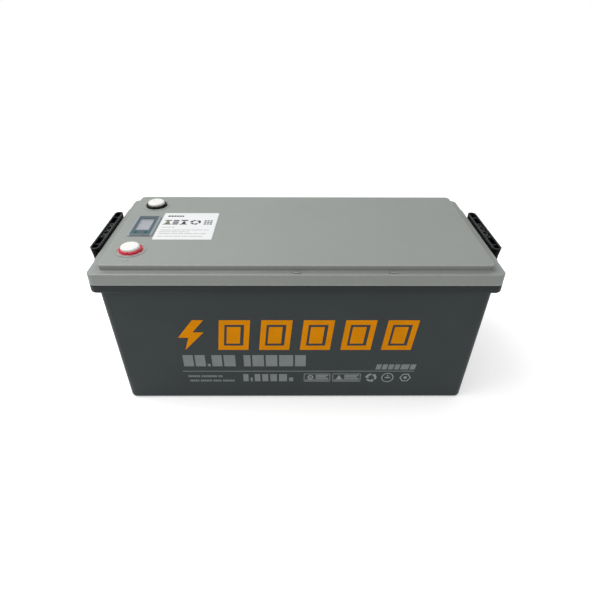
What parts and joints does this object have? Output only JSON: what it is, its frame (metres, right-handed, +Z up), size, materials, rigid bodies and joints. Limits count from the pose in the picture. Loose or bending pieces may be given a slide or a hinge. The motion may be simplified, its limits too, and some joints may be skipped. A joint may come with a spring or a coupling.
{
  "type": "deep cycle battery",
  "caption": "Large moulded deep cycle lithium battery with folding end handles, capped screw terminals, a small display and a full cell pack inside.",
  "frame": {"origin": "centre of the case's footprint, on the surface it stands on", "axes": "+Z up, +X along the case with the terminals at the -X end, -Y out of the printed front wall"},
  "size_m": [0.541, 0.24, 0.2262],
  "materials": {
    "case_dark": "moulded dark grey plastic, fine satin grain",
    "lid_grey": "moulded warm light grey plastic, satin",
    "handle_black": "moulded black plastic, semi-gloss",
    "ring_red": "moulded red plastic",
    "ring_black": "moulded black plastic",
    "cap_white": "moulded white plastic, satin gloss",
    "terminal_brass": "turned brass, tinned contact face",
    "bezel_blue": "slate blue printed facia, satin",
    "screen": "clear lens over a pale screen",
    "lcd": "pale reflective liquid crystal panel",
    "button_teal": "moulded teal plastic",
    "label_white": "white coated label film with grey print",
    "seal_rubber": "black nitrile rubber",
    "pin_steel": "zinc plated steel",
    "cell_wrap": "blue shrink film over an aluminium can",
    "busbar_nickel": "nickel plated copper",
    "foam_black": "closed cell foam",
    "insulator": "glass epoxy sheet",
    "plate_alu": "plain aluminium",
    "cover_clear": "grey insulating plastic",
    "board_green": "green circuit board with solder mask",
    "copper_film": "amber flexible circuit film",
    "cable_red": "red silicone insulation",
    "cable_black": "black silicone insulation",
    "lug_tin": "tinned copper"
  },
  "bodies": {
    "case": {"tub": "case_dark", "lid": "lid_grey", "lid_seal": "seal_rubber", "positive_terminal_post": "terminal_brass", "negative_terminal_post": "terminal_brass", "positive_terminal_ring": "ring_red", "negative_terminal_ring": "ring_black", "terminal_seals": "seal_rubber", "terminal_nuts": "pin_steel", "display_bezel": "bezel_blue", "display_gasket": "seal_rubber", "display_lens": "screen", "display_panel": "lcd", "display_board": "board_green", "display_cable": "cable_black", "top_label": "label_white", "left_handle_pins": "pin_steel", "right_handle_pins": "pin_steel", "left_end_plate": "plate_alu", "right_end_plate": "plate_alu", "left_end_pad": "foam_black", "right_end_pad": "foam_black", "front_side_pad": "foam_black", "rear_side_pad": "foam_black", "base_pad": "foam_black", "busbar_nuts": "pin_steel", "cell_spacers": "insulator", "cell_straps": "pin_steel", "cell_cover": "cover_clear", "sense_flex": "copper_film", "bms_base": "plate_alu", "bms_board": "board_green", "bms_cover": "plate_alu", "bms_screws": "pin_steel", "cable_lugs": "lug_tin", "positive_cable": "cable_red", "negative_cable": "cable_black", "cell_cable": "cable_black", "cell_1": "cell_wrap", "cell_2": "cell_wrap", "cell_3": "cell_wrap", "cell_4": "cell_wrap", "cell_5": "cell_wrap", "cell_6": "cell_wrap", "cell_7": "cell_wrap", "cell_8": "cell_wrap", "busbar_1": "busbar_nickel", "busbar_2": "busbar_nickel", "busbar_3": "busbar_nickel", "busbar_4": "busbar_nickel", "busbar_5": "busbar_nickel", "busbar_6": "busbar_nickel", "busbar_7": "busbar_nickel"},
    "left_handle": {"left_handle": "handle_black"},
    "right_handle": {"right_handle": "handle_black"},
    "positive_cap": {"positive_terminal_cap": "cap_white"},
    "negative_cap": {"negative_terminal_cap": "cap_white"},
    "left_button": {"display_button_left": "button_teal"},
    "right_button": {"display_button_right": "button_teal"}
  },
  "joints": [
    {"name": "left_handle_hinge", "type": "hinge", "parent": "case", "child": "left_handle", "pos_m": [-0.2565, 0, 0.165], "axis": [0, -1, 0], "range_deg": [0, 165]},
    {"name": "right_handle_hinge", "type": "hinge", "parent": "case", "child": "right_handle", "pos_m": [0.2565, 0, 0.165], "axis": [0, 1, 0], "range_deg": [0, 165]},
    {"name": "positive_cap_lift", "type": "slide", "parent": "case", "child": "positive_cap", "axis": [0, 0, 1], "range_m": [0, 0.03]},
    {"name": "negative_cap_lift", "type": "slide", "parent": "case", "child": "negative_cap", "axis": [0, 0, 1], "range_m": [0, 0.03]},
    {"name": "left_button_press", "type": "slide", "parent": "case", "child": "left_button", "axis": [0, 0, -1], "range_m": [0, 0.0005], "stiffness_N_per_m": 600},
    {"name": "right_button_press", "type": "slide", "parent": "case", "child": "right_button", "axis": [0, 0, -1], "range_m": [0, 0.0005], "stiffness_N_per_m": 600}
  ]
}
